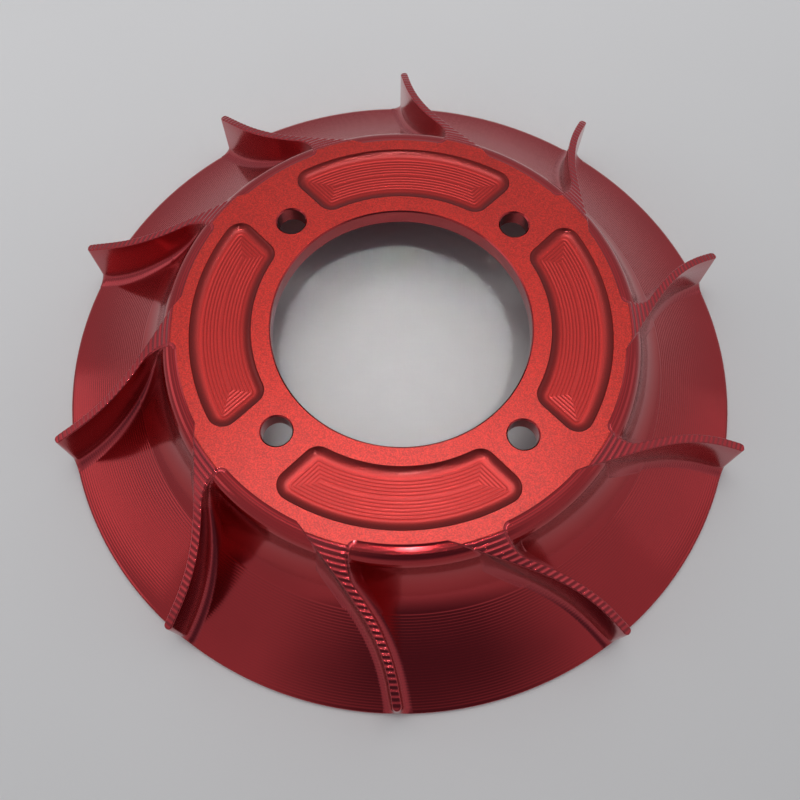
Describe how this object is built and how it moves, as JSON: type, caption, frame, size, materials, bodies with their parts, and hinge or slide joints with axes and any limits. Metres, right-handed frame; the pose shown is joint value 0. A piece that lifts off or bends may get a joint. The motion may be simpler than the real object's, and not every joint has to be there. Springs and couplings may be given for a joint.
{
  "type": "fan flywheel wheel",
  "caption": "Swept-blade cooling-fan wheel for a small engine's flywheel, with a large centre bore, bolt holes and a conical skirt.",
  "frame": {"origin": "on the wheel's axis, in the plane of the rim's underside", "axes": "+Z along the axis from the rim's underside towards the hub's top face; +X through the middle of a kidney recess, so the bolt holes lie at 45, 135, 225 and 315 degrees from +X"},
  "size_m": [0.16, 0.16, 0.0257],
  "materials": {
    "anodised_hub": "satin",
    "anodised_skirt": "satin",
    "anodised_blade": "satin"
  },
  "bodies": {
    "root": {"hub_plate": "anodised_hub", "drum_wall": "anodised_skirt", "fan_skirt": "anodised_skirt", "blade_01": "anodised_blade", "blade_02": "anodised_blade", "blade_03": "anodised_blade", "blade_04": "anodised_blade", "blade_05": "anodised_blade", "blade_06": "anodised_blade", "blade_07": "anodised_blade", "blade_08": "anodised_blade", "blade_09": "anodised_blade", "blade_10": "anodised_blade"}
  },
  "joints": []
}
